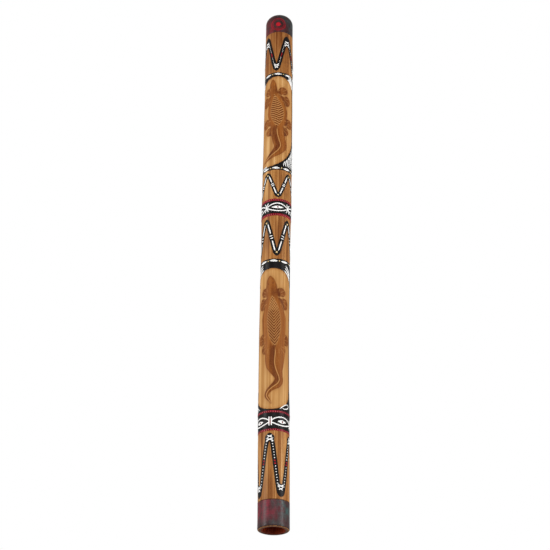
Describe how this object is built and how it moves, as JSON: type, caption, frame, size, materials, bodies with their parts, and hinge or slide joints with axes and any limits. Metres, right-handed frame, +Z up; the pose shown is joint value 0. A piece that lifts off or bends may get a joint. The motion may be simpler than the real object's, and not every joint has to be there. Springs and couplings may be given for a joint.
{
  "type": "didgeridoo",
  "caption": "Bamboo didgeridoo: a straight bored culm with carved panels, painted bands and a domed wooden mouthpiece glued into its upper end.",
  "frame": {"origin": "centre of the bell's rim, where the bore's axis meets the plane that the bell stands on", "axes": "+Z up the bore from the bell to the mouth; the carved side faces -Y; the culm's natural crook bows towards -X"},
  "size_m": [0.0646, 0.0624, 1.2],
  "materials": {
    "bamboo": "smoked bamboo skin, clear varnished, with carved panels and painted bands",
    "mouthpiece_wood": "turned hardwood under marbled dark paint, satin varnish",
    "beeswax": "beeswax, dull"
  },
  "bodies": {
    "root": {"culm": "bamboo", "mouthpiece": "mouthpiece_wood", "mouthpiece_seal": "beeswax"}
  },
  "joints": []
}
